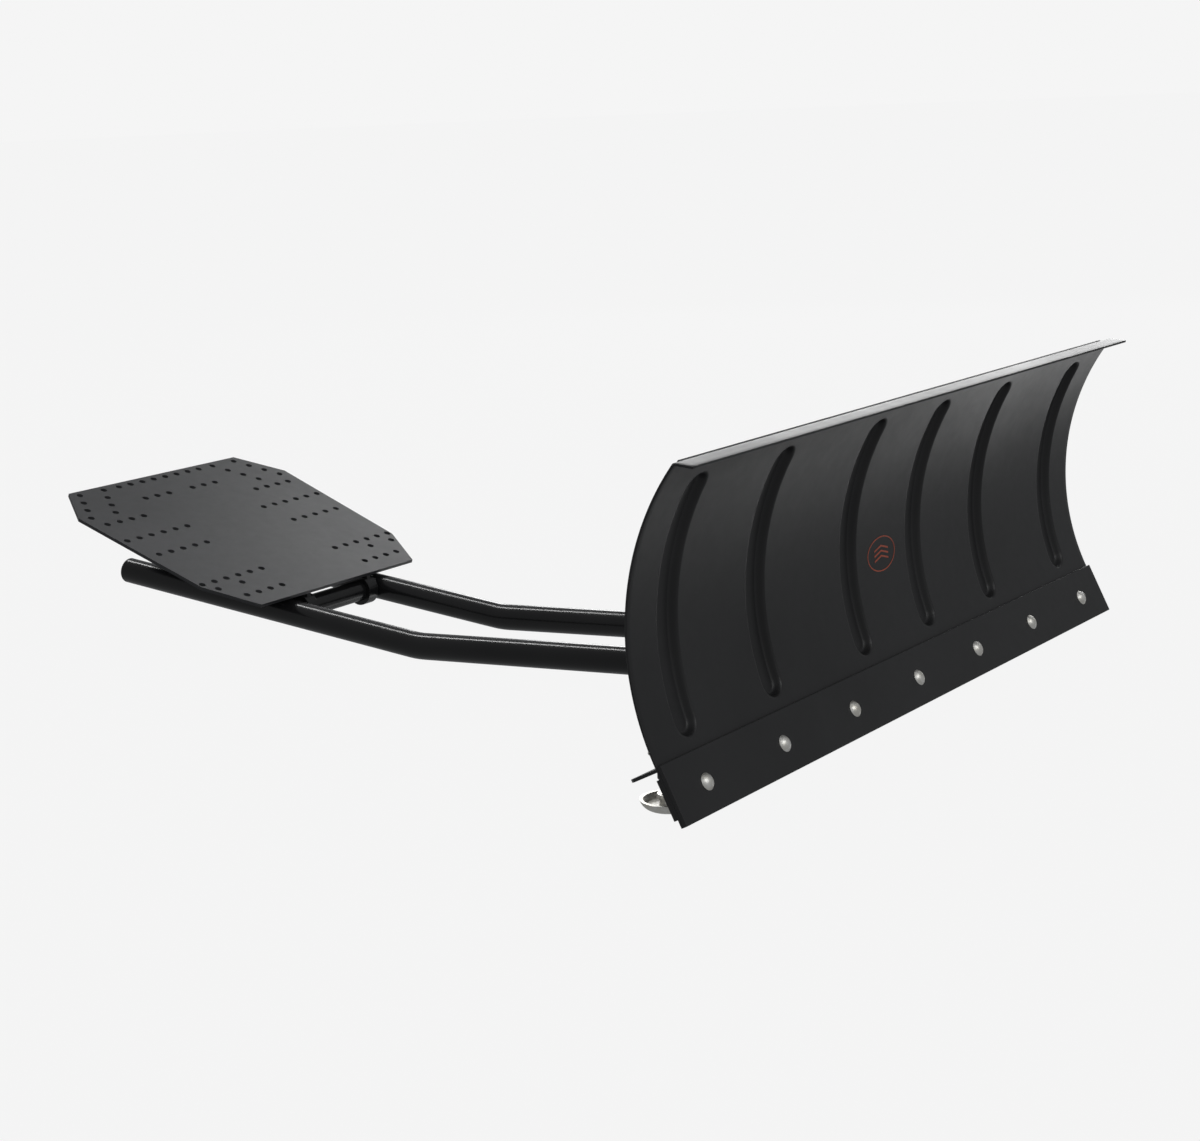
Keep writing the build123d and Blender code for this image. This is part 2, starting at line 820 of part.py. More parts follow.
def make_cross_tube(y):
    with BuildPart() as cross:
        with Locations((0, edge_y + y, tube_axis_z(y))):
            Cylinder(cross_tube_r, 2 * tube_x, rotation=(0, 90, 0))
        add(cores, mode=Mode.SUBTRACT)
        with Locations((0, edge_y + y, tube_axis_z(y))):
            Cylinder(
                cross_tube_r - cross_tube_wall,
                2 * tube_x,
                rotation=(0, 90, 0),
                mode=Mode.SUBTRACT,
            )
    return cross.part


finish(make_cross_tube(cross_tube_y), "front_cross_tube")
finish(make_cross_tube(rear_cross_y), "rear_cross_tube")

with BuildPart() as tube_end_caps:
    for side in (-1, 1):
        rear_face = Plane(
            origin=(side * tube_x, edge_y + tube_rear_y, tube_axis_z(tube_rear_y)),
            x_dir=(1, 0, 0),
            z_dir=(0, cos(radians(tube_rear_slope)), sin(radians(tube_rear_slope))),
        )
        with BuildSketch(rear_face):
            Circle(tube_r)
        extrude(amount=cap_t)
        with BuildSketch(rear_face):
            Circle(tube_r - tube_wall - thread_gap)
        extrude(amount=-cap_depth)
finish(tube_end_caps.part, "tube_end_caps")

# ---- mounting plate, drawn flat in its own tilted plane: X across, Y back from its front edge ----
plate_plane = Plane(
    origin=(0, edge_y + plate_front_y, plate_front_z),
    x_dir=(1, 0, 0),
    z_dir=(0, -sin(tilt), cos(tilt)),
)
row_holes = [
    (side * (outer - step * hole_pitch), back)
    for back, outer, count in plate_rows
    for side in (-1, 1)
    for step in range(count)
]
pair_holes = [(side * x, back) for back, x in plate_pairs for side in (-1, 1)]
slant_holes = [
    (side * (x + step * shift), back + step * drop)
    for (back, x), (drop, shift), count in plate_slants
    for side in (-1, 1)
    for step in range(count)
]
plate_outline = [
    (plate_half_front, 0),
    (plate_half_wide_front, plate_wide_front),
    (plate_half_wide_rear, plate_wide_rear),
    (plate_half_rear, plate_length),
]
with BuildPart() as mount_plate:
    with BuildSketch(plate_plane):
        Polygon(*plate_outline, *[(-x, y) for x, y in plate_outline[::-1]], align=None)
        with Locations(*row_holes, *pair_holes, *slant_holes):
            Circle(plate_hole_r, mode=Mode.SUBTRACT)
    extrude(amount=-plate_t)
finish(mount_plate.part, "mount_plate")

# Hinges under the plate: a sleeve that turns on the front cross tube, and a web up to the plate.
hinge_y = cross_tube_y
hinge_z = tube_axis_z(cross_tube_y)
under_plane = plate_plane.offset(-plate_t)


def under_plate(back, down=0.0):
    """Place under the plate, back from its front edge and down from its underside."""
    spot = under_plane.from_local_coords((0, back, -down))
    return (spot.Y - edge_y, spot.Z)


for side, word in ((-1, "left"), (1, "right")):
    with BuildPart() as hinge:
        with Locations((side * hinge_x, edge_y + hinge_y, hinge_z)):
            Cylinder(hinge_sleeve_r, hinge_sleeve_length, rotation=(0, 90, 0))
        with BuildSketch(cross_section(side * hinge_x)):
            yz_face(
                under_plate(hinge_web_inset),
                under_plate(hinge_web_inset + hinge_web_length),
                under_plate(hinge_web_inset + hinge_web_length, hinge_web_lip),
                (hinge_y + hinge_sleeve_r * 0.8, hinge_z - hinge_sleeve_r * 0.3),
                (hinge_y - hinge_sleeve_r * 0.7, hinge_z + hinge_sleeve_r * 0.3),
            )
        extrude(amount=hinge_web_t / 2, both=True)
        split(bisect_by=under_plane, keep=Keep.BOTTOM)
        with Locations((side * hinge_x, edge_y + hinge_y, hinge_z)):
            Cylinder(
                cross_tube_r + running_gap,
                2 * hinge_sleeve_length,
                rotation=(0, 90, 0),
                mode=Mode.SUBTRACT,
            )
    finish(hinge.part, f"plate_hinge_{word}")


# ---- trip springs: closed-coil extension springs from the crossbar's lugs to the eye bolts ----
spring_low = Vector(0, edge_y + spring_low_y, spring_low_z)
spring_high = Vector(0, edge_y + spring_high_y, spring_high_z)
spring_up = (spring_high - spring_low).normalized()
spring_length = (spring_high - spring_low).length
coil_length = spring_length - 2 * spring_hook
hook_r = (spring_hook - spring_wire_r / 2) / 2
for side, word in ((-1, "left"), (1, "right")):
    across = Vector(side * spring_x, 0, 0)
    coil_plane = Plane(
        origin=spring_low + across + spring_up * spring_hook, x_dir=(1, 0, 0), z_dir=spring_up
    )
    with BuildPart() as spring:
        with BuildSketch(coil_plane):
            Circle(spring_r)
            Circle(spring_r - 2 * spring_wire_r, mode=Mode.SUBTRACT)
        extrude(amount=coil_length)
        for end, inwards in ((0, 1), (1, -1)):
            with BuildSketch(coil_plane.offset(end * coil_length)):
                Circle(spring_r - 2 * spring_wire_r)
            extrude(amount=inwards * 2 * spring_wire_r)
            ring_mid = spring_high - spring_up * hook_r if end else spring_low + spring_up * hook_r
            with Locations(Plane(ring_mid + across, x_dir=(1, 0, 0), z_dir=coil_plane.y_dir)):
                Torus(hook_r, spring_wire_r)
    finish(spring.part, f"trip_spring_{word}")


# ---- skid shoes with their brackets ----
for side, word in ((-1, "left"), (1, "right")):
    outer_x = side * blade_length / 2
    inner_x = outer_x - side * bracket_width
    shoe_y = edge_y + skid_set_back
    y, z = yz(from_edge(bracket_up, wear_t + sheet_t))
    bracket_plane = Plane(origin=(0, y, z), x_dir=(1, 0, 0), z_dir=(0, sin(lean), cos(lean)))
    corner_x = inner_x + side * bracket_corner
    with BuildPart() as skid_bracket:
        with BuildSketch(bracket_plane):
            Polygon(
                (outer_x, 0),
                (outer_x, bracket_depth - bracket_corner),
                (outer_x - side * bracket_corner, bracket_depth),
                (corner_x, bracket_depth),
                (inner_x, bracket_depth - bracket_corner),
                (inner_x, 0),
                align=None,
            )
        extrude(amount=bracket_t)
        with Locations((side * skid_x, shoe_y, sleeve_low)):
            Cylinder(
                sleeve_r, sleeve_high - sleeve_low, align=(Align.CENTER, Align.CENTER, Align.MIN)
            )
        with Locations((side * skid_x, shoe_y, sleeve_low)):
            Cylinder(skid_stem_r + running_gap, 4 * sleeve_high, mode=Mode.SUBTRACT)
    finish(skid_bracket.part, f"skid_bracket_{word}")

    with BuildPart() as skid_shoe:
        with BuildSketch(Plane((side * skid_x, shoe_y, 0), x_dir=(1, 0, 0), z_dir=(0, -1, 0))):
            with BuildLine():
                Polyline(
                    (skid_dish_r, skid_dish_h),
                    (skid_dish_r - skid_rim, skid_dish_h),
                    (skid_dish_r - 2 * skid_rim, skid_dish_wall),
                    (skid_stem_r + skid_rim, skid_dish_wall),
                    (skid_shoulder_r, skid_dish_h),
                    (skid_stem_r, skid_dish_h),
                    (skid_stem_r, skid_stem_top),
                    (0, skid_stem_top),
                    (0, 0),
                    (skid_dish_r - 3 * skid_rim, 0),
                )
                ThreePointArc(
                    (skid_dish_r - 3 * skid_rim, 0),
                    (skid_dish_r - skid_rim, skid_dish_h * 0.4),
                    (skid_dish_r, skid_dish_h),
                )
            make_face()
        revolve(axis=Axis((side * skid_x, shoe_y, 0), (0, 0, 1)))
        with Locations((side * skid_x, shoe_y, lynch_z)):
            Cylinder(lynch_r + thread_gap, 4 * skid_stem_r, rotation=(0, 90, 0), mode=Mode.SUBTRACT)
    finish(skid_shoe.part, f"skid_shoe_{word}")

    with BuildPart() as skid_washer_set:
        for z in [skid_dish_h + i * skid_washer_t for i in range(skid_washers)] + [sleeve_high]:
            with Locations((side * skid_x, shoe_y, z)):
                Cylinder(skid_washer_r, skid_washer_t, align=(Align.CENTER, Align.CENTER, Align.MIN))
        with Locations((side * skid_x, shoe_y, 0)):
            Cylinder(skid_stem_r + thread_gap, 4 * sleeve_high, mode=Mode.SUBTRACT)
    finish(skid_washer_set.part, f"skid_washers_{word}")

    with BuildPart() as skid_pin:
        with Locations((side * skid_x, shoe_y, lynch_z)):
            Cylinder(lynch_r, lynch_length, rotation=(0, 90, 0))
        with Locations((side * (skid_x + lynch_length / 2 + lynch_ring_r - lynch_wire_r), shoe_y, lynch_z)):
            Torus(lynch_ring_r, lynch_wire_r)
    finish(skid_pin.part, f"skid_pin_{word}")
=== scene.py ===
import bpy
import bmesh
import json
from math import cos, pi, radians, sin
from mathutils import Matrix, Vector


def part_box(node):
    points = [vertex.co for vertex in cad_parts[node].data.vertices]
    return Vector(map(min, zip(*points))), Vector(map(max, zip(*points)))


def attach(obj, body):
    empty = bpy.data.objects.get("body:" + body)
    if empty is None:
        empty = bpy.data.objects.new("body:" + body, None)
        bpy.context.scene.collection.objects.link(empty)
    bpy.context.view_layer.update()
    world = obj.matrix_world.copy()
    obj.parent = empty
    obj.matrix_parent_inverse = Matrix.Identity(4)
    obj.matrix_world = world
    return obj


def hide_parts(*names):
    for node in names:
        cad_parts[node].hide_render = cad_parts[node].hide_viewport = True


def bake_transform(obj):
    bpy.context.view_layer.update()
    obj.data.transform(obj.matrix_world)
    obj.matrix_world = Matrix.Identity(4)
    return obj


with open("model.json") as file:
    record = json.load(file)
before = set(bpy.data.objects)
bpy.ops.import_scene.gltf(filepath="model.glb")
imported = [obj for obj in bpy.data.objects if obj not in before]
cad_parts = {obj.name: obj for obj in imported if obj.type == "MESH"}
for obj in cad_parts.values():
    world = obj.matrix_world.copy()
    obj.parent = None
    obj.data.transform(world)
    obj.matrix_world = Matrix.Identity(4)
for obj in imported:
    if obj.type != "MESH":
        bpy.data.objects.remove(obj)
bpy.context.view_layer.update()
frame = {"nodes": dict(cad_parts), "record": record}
nodes = frame["nodes"]
bodyOf = {name: body for body, names in frame["record"]["behaviour"]["bodies"].items() for name in names}
slotOf = {part["node"]: part["material_slot"] for part in frame["record"]["subparts"]}
print("frame loaded,", len(nodes), "nodes")


class Wire:
    # one socket; arithmetic on it adds Math nodes
    def __init__(self, paint, socket):
        self.paint = paint
        self.socket = socket

    def maths(self, operation, first, second):
        return self.paint.add("ShaderNodeMath", {"operation": operation}, {0: first, 1: second})

    def __add__(self, other):
        return self.maths("ADD", self, other)

    def __radd__(self, other):
        return self.maths("ADD", other, self)

    def __sub__(self, other):
        return self.maths("SUBTRACT", self, other)

    def __rsub__(self, other):
        return self.maths("SUBTRACT", other, self)

    def __mul__(self, other):
        return self.maths("MULTIPLY", self, other)

    def __rmul__(self, other):
        return self.maths("MULTIPLY", other, self)


class Paint:
    # a material and its node tree
    def __init__(self, name):
        self.material = bpy.data.materials.new(name)
        self.material.use_nodes = True
        self.tree = self.material.node_tree
        self.tree.nodes.clear()

    def add(self, kind, settings, sockets, output=0):
        node = self.tree.nodes.new(kind)
        for key, value in settings.items():
            if key == "stops":
                self.setStops(node.color_ramp, value)
            else:
                setattr(node, key, value)
        for key, value in sockets.items():
            if isinstance(value, Wire):
                self.tree.links.new(value.socket, node.inputs[key])
            else:
                node.inputs[key].default_value = value
        return Wire(self, node.outputs[output])

    def setStops(self, ramp, stops):
        while len(ramp.elements) > len(stops):
            ramp.elements.remove(ramp.elements[-1])
        while len(ramp.elements) < len(stops):
            ramp.elements.new(1.0)
        for element, (place, shade) in zip(ramp.elements, stops):
            element.position = place
            element.color = (shade, shade, shade, 1.0)

    def place(self, scale=(1.0, 1.0, 1.0)):
        where = self.add("ShaderNodeTexCoord", {}, {}, "Object")
        return self.add("ShaderNodeMapping", {}, {"Vector": where, "Scale": scale})

    def noise(self, where, scale, detail=3.0, roughness=0.5):
        sockets = {"Vector": where, "Scale": scale, "Detail": detail, "Roughness": roughness}
        return self.add("ShaderNodeTexNoise", {}, sockets, "Fac")

    def ramp(self, factor, *stops):
        return self.add("ShaderNodeValToRGB", {"stops": stops}, {"Fac": factor})

    def mixColours(self, factor, first, second):
        return self.add("ShaderNodeMix", {"data_type": "RGBA"}, {0: factor, 6: (*first, 1.0), 7: (*second, 1.0)}, 2)

    def bump(self, height, strength, distance):
        return self.add("ShaderNodeBump", {}, {"Strength": strength, "Distance": distance, "Height": height})

    def finish(self, sockets):
        surface = self.add("ShaderNodeBsdfPrincipled", {}, sockets)
        self.addOutput(surface)
        return self.material

    def addOutput(self, surface):
        output = self.tree.nodes.new("ShaderNodeOutputMaterial")
        self.tree.links.new(surface.socket, output.inputs["Surface"])


# how each finish looks
powderCoat = {
    "dark": (0.0085, 0.0086, 0.0092),
    "light": (0.0145, 0.0146, 0.0155),
    "sheen": (0.40, 0.50),
    "specular": 0.36,
    "cloudScale": 5.0,
    "grainScale": 60.0,
    "peelScale": 420.0,
    "peelDepth": 0.00006,
}


def makePowderCoat(name, look):
    # satin powder coat: cloudy tone, fine orange peel, softly varied sheen
    paint = Paint(name)
    where = paint.place()
    clouds = paint.noise(where, look["cloudScale"], 4.0, 0.55)
    peel = paint.noise(where, look["peelScale"], 2.0, 0.45)
    grains = paint.noise(where, look["grainScale"], 5.0, 0.6)
    colour = paint.mixColours(paint.ramp(clouds, (0.35, 0.0), (0.68, 1.0)), look["dark"], look["light"])
    low, high = look["sheen"]
    gloss = low + (high - low) * paint.ramp(0.6 * clouds + 0.4 * grains, (0.3, 0.0), (0.7, 1.0))
    return paint.finish({
        "Base Color": colour,
        "Roughness": gloss,
        "Specular IOR Level": look["specular"],
        "Normal": paint.bump(peel, 0.35, look["peelDepth"]),
    })


plateCoat = dict(powderCoat, dark=(0.017, 0.0175, 0.019), light=(0.026, 0.0265, 0.029),
                 sheen=(0.42, 0.54), specular=0.37)
frameCoat = dict(powderCoat, dark=(0.0060, 0.0060, 0.0064), light=(0.0105, 0.0105, 0.011),
                 sheen=(0.16, 0.24), specular=0.32, peelDepth=0.00003)

zincLook = {
    "pale": (0.78, 0.78, 0.77),
    "warm": (0.62, 0.60, 0.54),
    "sheen": (0.40, 0.54),
    "metal": 0.9,
    "spangleScale": 260.0,
    "cloudScale": 38.0,
    "scratchScale": 520.0,
}


def makeZinc(name, look):
    # bright zinc plate: spangled tone, a little yellow, fine tool marks
    paint = Paint(name)
    where = paint.place()
    cells = {"Vector": where, "Scale": look["spangleScale"]}
    spangle = paint.add("ShaderNodeTexVoronoi", {"feature": "F1"}, cells, "Color")
    spangle = paint.add("ShaderNodeRGBToBW", {}, {"Color": spangle})
    clouds = paint.noise(where, look["cloudScale"], 5.0, 0.6)
    scratches = paint.noise(paint.place((1.0, 1.0, 9.0)), look["scratchScale"], 3.0, 0.6)
    tone = paint.ramp(0.7 * clouds + 0.3 * spangle, (0.3, 0.0), (0.75, 1.0))
    low, high = look["sheen"]
    return paint.finish({
        "Base Color": paint.mixColours(tone, look["warm"], look["pale"]),
        "Metallic": look["metal"],
        "Roughness": low + (high - low) * clouds,
        "Normal": paint.bump(scratches, 0.2, 0.00003),
    })


plasticLook = {
    "dark": (0.012, 0.012, 0.012),
    "light": (0.024, 0.024, 0.025),
    "sheen": (0.48, 0.62),
    "grainScale": 900.0,
}


def makePlastic(name, look):
    # moulded plastic with a fine spark-eroded grain
    paint = Paint(name)
    where = paint.place()
    grain = paint.noise(where, look["grainScale"], 3.0, 0.6)
    clouds = paint.noise(where, 20.0)
    low, high = look["sheen"]
    return paint.finish({
        "Base Color": paint.mixColours(grain, look["dark"], look["light"]),
        "Roughness": low + (high - low) * clouds,
        "Normal": paint.bump(grain, 0.45, 0.0001),
    })


badgeLook = {
    "ink": (0.42, 0.075, 0.03),
    "worn": (0.30, 0.055, 0.025),
    "mottleScale": 700.0,
}


def makeBadgeInk(name, look):
    # screen-printed ink with a little mottle
    paint = Paint(name)
    mottle = paint.noise(paint.place(), look["mottleScale"], 3.0, 0.6)
    return paint.finish({
        "Base Color": paint.mixColours(paint.ramp(mottle, (0.35, 0.0), (0.7, 1.0)), look["worn"], look["ink"]),
        "Roughness": 0.4 + 0.15 * mottle,
        "Normal": paint.bump(mottle, 0.2, 0.00002),
    })


finishes = {
    "blade_paint": makePowderCoat("bladePowderCoat", powderCoat),
    "plate_paint": makePowderCoat("platePowderCoat", plateCoat),
    "black_paint": makePowderCoat("framePowderCoat", frameCoat),
    "zinc": makeZinc("brightZinc", zincLook),
    "black_plastic": makePlastic("mouldedPlastic", plasticLook),
}
badgeInk = makeBadgeInk("badgeInk", badgeLook)

for name, node in nodes.items():
    node.data.materials.clear()
    node.data.materials.append(finishes[slotOf[name]])
print("finishes made")


def makePiece(name, shape, material, smoothAngle=40.0):
    # turns a bmesh into an object with smooth shading under an angle
    mesh = bpy.data.meshes.new(name)
    shape.to_mesh(mesh)
    shape.free()
    mesh.materials.append(material)
    mesh.polygons.foreach_set("use_smooth", [True] * len(mesh.polygons))
    mesh.set_sharp_from_angle(angle=radians(smoothAngle))
    piece = bpy.data.objects.new(name, mesh)
    bpy.context.scene.collection.objects.link(piece)
    return piece


surfaces = dict(nodes)  # what stands for each CAD part, for casting onto


def easeEdges(name, width, corner=32.0):
    # a copy of a CAD part with its sharp corners rounded off a little
    shape = bmesh.new()
    shape.from_mesh(nodes[name].data)
    bmesh.ops.remove_doubles(shape, verts=shape.verts, dist=0.000002)
    bmesh.ops.dissolve_limit(shape, angle_limit=radians(0.4), use_dissolve_boundaries=False,
                             verts=shape.verts, edges=shape.edges)
    sharp = [edge for edge in shape.edges if edge.is_manifold and edge.calc_face_angle() > radians(corner)]
    bmesh.ops.bevel(shape, geom=sharp, offset=width, offset_type="OFFSET", segments=2, profile=0.5,
                    affect="EDGES", clamp_overlap=True, material=-1)
    bmesh.ops.remove_doubles(shape, verts=shape.verts, dist=0.000002)
    words = name.split("_")
    piece = makePiece(words[0] + "".join(word.title() for word in words[1:]), shape, finishes[slotOf[name]], 50.0)
    weighted = piece.modifiers.new("weightedNormals", "WEIGHTED_NORMAL")
    weighted.keep_sharp = True
    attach(piece, bodyOf[name])
    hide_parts(name)
    surfaces[name] = piece


# plates, bars and brackets, with the radius that each edge gets
easedEdges = {
    "mount_plate": 0.0005,
    "wear_bar": 0.0006,
    "backing_bar": 0.0006,
    "skid_bracket_left": 0.0006,
    "skid_bracket_right": 0.0006,
    "head_plate": 0.0008,
    "upper_jaw": 0.0008,
    "lower_jaw": 0.0008,
    "lift_lug": 0.001,
    "swivel_plate": 0.0008,
    "swivel_crossbar": 0.0015,
    "spring_bar": 0.0006,
    "spring_lugs": 0.0006,
    "top_rail": 0.0008,
    "blade_rib_left": 0.0008,
    "blade_rib_right": 0.0008,
    "trip_ears_left": 0.0008,
    "trip_ears_right": 0.0008,
    "plate_hinge_left": 0.0006,
    "plate_hinge_right": 0.0006,
    "wear_bolt_nuts": 0.0004,
    "spring_eye_nuts": 0.0004,
    "king_pin_nut": 0.0006,
    "tube_end_caps": 0.0008,
}
for name, width in easedEdges.items():
    easeEdges(name, width)
print("edges eased")


# a rolled sheet with pressed grooves and a bent top lip
mouldShape = {
    "lean": 26.4,
    "strip": 0.072,
    "rollR": 0.311,
    "rollAngle": 65.0,
    "bendR": 0.0008,
    "dip": 5.0,
    "lip": 0.0233,
    "sheet": 0.003,
    "barThickness": 0.005,
    "grooves": (-0.492, -0.305, -0.083, 0.089, 0.270, 0.491),
    "grooveWidth": 0.042,
    "grooveFloor": 0.026,
    "grooveDepth": 0.009,
    "gapLow": 0.014,
    "gapHigh": 0.025,
    "edgeR": 0.0005,
}


def stations(start, stop, step):
    # evenly spread places from start up to, but not at, stop
    count = max(1, round((stop - start) / step))
    return [start + (stop - start) * index / count for index in range(count)]


def onProfile(look, foot, along):
    # place and facing on the front of the sheet, a distance up from its lower edge
    lean = radians(look["lean"])
    if along <= look["strip"]:
        return foot + Vector((0.0, sin(lean), cos(lean))) * along, Vector((0.0, -cos(lean), sin(lean)))
    rollStart = foot + Vector((0.0, sin(lean), cos(lean))) * look["strip"]
    rollCentre = rollStart + Vector((0.0, -cos(lean), sin(lean))) * look["rollR"]
    along -= look["strip"]
    turn = min(along / look["rollR"], radians(look["rollAngle"])) - lean
    outwards = Vector((0.0, cos(turn), sin(turn)))
    along -= look["rollR"] * radians(look["rollAngle"])
    if along <= 0.0:
        return rollCentre + outwards * look["rollR"], -outwards
    bendCentre = rollCentre + outwards * (look["rollR"] - look["bendR"])
    last = radians(90.0 + look["dip"])
    bent = min(turn + along / look["bendR"], last)
    outwards = Vector((0.0, cos(bent), sin(bent)))
    along -= look["bendR"] * (last - turn)
    straight = Vector((0.0, -sin(bent), cos(bent))) * max(0.0, along)
    return bendCentre + outwards * look["bendR"] + straight, -outwards


def grooveDepthAt(look, x, along):
    # pressed depth at a place on the developed sheet, with rounded shoulders
    half = look["grooveWidth"] / 2
    low = look["strip"] + look["gapLow"] + half
    high = look["strip"] + look["rollR"] * radians(look["rollAngle"]) - look["gapHigh"] - half
    beyond = max(low - along, 0.0, along - high)
    away = min(Vector((x - middle, beyond)).length for middle in look["grooves"])
    wall = (half - away) / (half - look["grooveFloor"] / 2)
    share = min(1.0, max(0.0, wall))
    return look["grooveDepth"] * share * share * (3.0 - 2.0 * share)


def rollMouldboard(look):
    low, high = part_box("mouldboard")
    lean = radians(look["lean"])
    # the sheet stands behind the wear bar, on the same lower edge
    foot = Vector((0.0, sheetFootY(look), low.z + look["sheet"] * sin(lean)))
    half = look["grooveWidth"] / 2 + 0.003
    columns = []
    reach = low.x
    for middle in look["grooves"]:
        columns += stations(reach, middle - half, 0.008) + stations(middle - half, middle + half, 0.0017)
        reach = middle + half
    columns += stations(reach, high.x, 0.008) + [high.x]
    roll = look["rollR"] * radians(look["rollAngle"])
    bend = look["bendR"] * radians(90.0 + look["dip"] - look["rollAngle"] + look["lean"])
    top = look["strip"] + roll
    lowEnd = look["strip"] + look["gapLow"] + look["grooveWidth"]
    highEnd = top - look["gapHigh"] - look["grooveWidth"]
    rows = stations(0.0, look["strip"], 0.012)
    rows += stations(look["strip"], look["strip"] + look["gapLow"] - 0.003, 0.006)
    rows += stations(look["strip"] + look["gapLow"] - 0.003, lowEnd, 0.0019)
    rows += stations(lowEnd, highEnd, 0.0055)
    rows += stations(highEnd, top - look["gapHigh"] + 0.003, 0.0019)
    rows += stations(top - look["gapHigh"] + 0.003, top, 0.005)
    rows += stations(top, top + bend, bend / 5)
    rows += stations(top + bend, top + bend + look["lip"], 0.008) + [top + bend + look["lip"]]
    shape = bmesh.new()
    bmesh.ops.create_grid(shape, x_segments=len(columns) - 1, y_segments=len(rows) - 1, size=0.5)
    for vertex in shape.verts:
        x = columns[round((vertex.co.x + 0.5) * (len(columns) - 1))]
        along = rows[round((vertex.co.y + 0.5) * (len(rows) - 1))]
        place, facing = onProfile(look, foot, along)
        vertex.co = place - facing * grooveDepthAt(look, x, along) + Vector((x, 0.0, 0.0))
    bmesh.ops.recalc_face_normals(shape, faces=shape.faces)
    if sum(face.normal.y for face in shape.faces) > 0:
        bmesh.ops.reverse_faces(shape, faces=shape.faces[:])
    bmesh.ops.solidify(shape, geom=shape.faces[:], thickness=look["sheet"])
    rim = [edge for edge in shape.edges if edge.is_manifold and edge.calc_face_angle() > radians(70)]
    bmesh.ops.bevel(shape, geom=rim, offset=look["edgeR"], offset_type="OFFSET", segments=2, profile=0.5,
                    affect="EDGES", clamp_overlap=True, material=-1)
    piece = makePiece("mouldboardSheet", shape, finishes["blade_paint"], 50.0)
    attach(piece, "blade")
    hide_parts("mouldboard")
    return piece


def sheetFootY(look):
    # the lower front corner of the sheet, behind the wear bar's own lower edge
    lean = radians(look["lean"])
    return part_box("wear_bar")[0].y + look["barThickness"] * cos(lean)


surfaces["mouldboard"] = rollMouldboard(mouldShape)
print("mouldboard rolled,", len(surfaces["mouldboard"].data.polygons), "faces")


# close-wound coils with a loop at each end
springWind = {
    "wire": 0.002,
    "turns": 34,
    "hook": 0.016,
    "sides": 10,
    "stepsPerTurn": 20,
    "loopSteps": 28,
}


def windSpring(word, look):
    node = nodes["trip_spring_" + word]
    low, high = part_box("trip_spring_" + word)
    middleX = (low.x + high.x) / 2
    coilR = (high.x - low.x) / 2 - look["wire"]
    corners = [vertex.co for vertex in node.data.vertices]
    bottom = min(corners, key=lambda point: point.z)
    top = max(corners, key=lambda point: point.z)
    foot = Vector((middleX, bottom.y, bottom.z + look["wire"]))
    head = Vector((middleX, top.y, top.z - look["wire"]))
    up = (head - foot).normalized()
    start = foot + up * look["hook"]
    length = (head - foot).length - 2 * look["hook"]
    across = Vector((1.0, 0.0, 0.0))
    rear = up.cross(across)
    steps = look["turns"] * look["stepsPerTurn"]
    shape = bmesh.new()
    section = Matrix((across, up, -rear)).transposed().to_4x4()
    section.translation = start + across * coilR
    bmesh.ops.create_circle(shape, segments=look["sides"], radius=look["wire"], matrix=section)
    bmesh.ops.spin(shape, geom=shape.edges[:], cent=start, axis=up, dvec=up * (length / steps),
                   angle=2 * pi * look["turns"], steps=steps, use_merge=False, use_duplicate=False)
    # each end is a loop, standing up through the coil's middle
    loopR = (look["hook"] - look["wire"]) / 2
    for centre in (start - up * loopR, start + up * (length + loopR)):
        loopPlace = Matrix((up, across, -rear)).transposed().to_4x4()
        loopPlace.translation = centre + up * loopR
        bmesh.ops.create_circle(shape, segments=look["sides"], radius=look["wire"],
                                matrix=loopPlace)
        loopRim = [edge for edge in shape.edges if edge.is_boundary or edge.is_wire]
        loopRim = [edge for edge in loopRim if (edge.verts[0].co - (centre + up * loopR)).length < look["wire"] * 1.01]
        bmesh.ops.spin(shape, geom=loopRim, cent=centre, axis=across, dvec=(0, 0, 0),
                       angle=2 * pi, steps=look["loopSteps"], use_merge=True, use_duplicate=False)
    bmesh.ops.holes_fill(shape, edges=[edge for edge in shape.edges if edge.is_boundary], sides=look["sides"] + 2)
    bmesh.ops.remove_doubles(shape, verts=shape.verts, dist=0.00001)
    bmesh.ops.recalc_face_normals(shape, faces=shape.faces)
    piece = makePiece("tripSpring" + word.title(), shape, finishes["zinc"])
    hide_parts("trip_spring_" + word)
    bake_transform(piece)
    return piece


for word in ("left", "right"):
    windSpring(word, springWind)
print("springs wound")


weldLook = {
    "width": 0.0026,
    "height": 0.0021,
    "pitch": 0.0019,
    "saddleSteps": 24,
    "tubeSteps": 36,
    "ribSteps": 26,
}


bpy.context.view_layer.update()


def castOnto(name, origin, direction):
    # the point where a straight line first meets a part
    hit, place, normal, face = surfaces[name].ray_cast(Vector(origin), Vector(direction))
    return place if hit else None


def layBead(shape, path, look):
    # overlapping flattened drops, as a welder leaves them
    for first, second in zip(path, path[1:]):
        run = second - first
        drops = max(1, round(run.length / look["pitch"]))
        for step in range(drops):
            place = Matrix.Translation(first + run * (step / drops))
            place = place @ run.to_track_quat("X", "Z").to_matrix().to_4x4()
            place = place @ Matrix.Diagonal((look["pitch"] * 1.25, look["width"], look["height"], 1.0))
            bmesh.ops.create_icosphere(shape, subdivisions=1, radius=1.0, matrix=place)


def weldTubeJoint(shape, crossName, tubeName, side):
    # the saddle where a cross tube meets a push tube
    low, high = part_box(crossName)
    centre = (low + high) / 2
    reach = (high.z - low.z) / 2
    path = []
    for step in range(weldLook["saddleSteps"] + 1):
        turn = 2 * pi * step / weldLook["saddleSteps"]
        origin = (0.0, centre.y + reach * cos(turn), centre.z + reach * sin(turn))
        place = castOnto(tubeName, origin, (side, 0.0, 0.0))
        if place is not None:
            path.append(place)
    layBead(shape, path, weldLook)


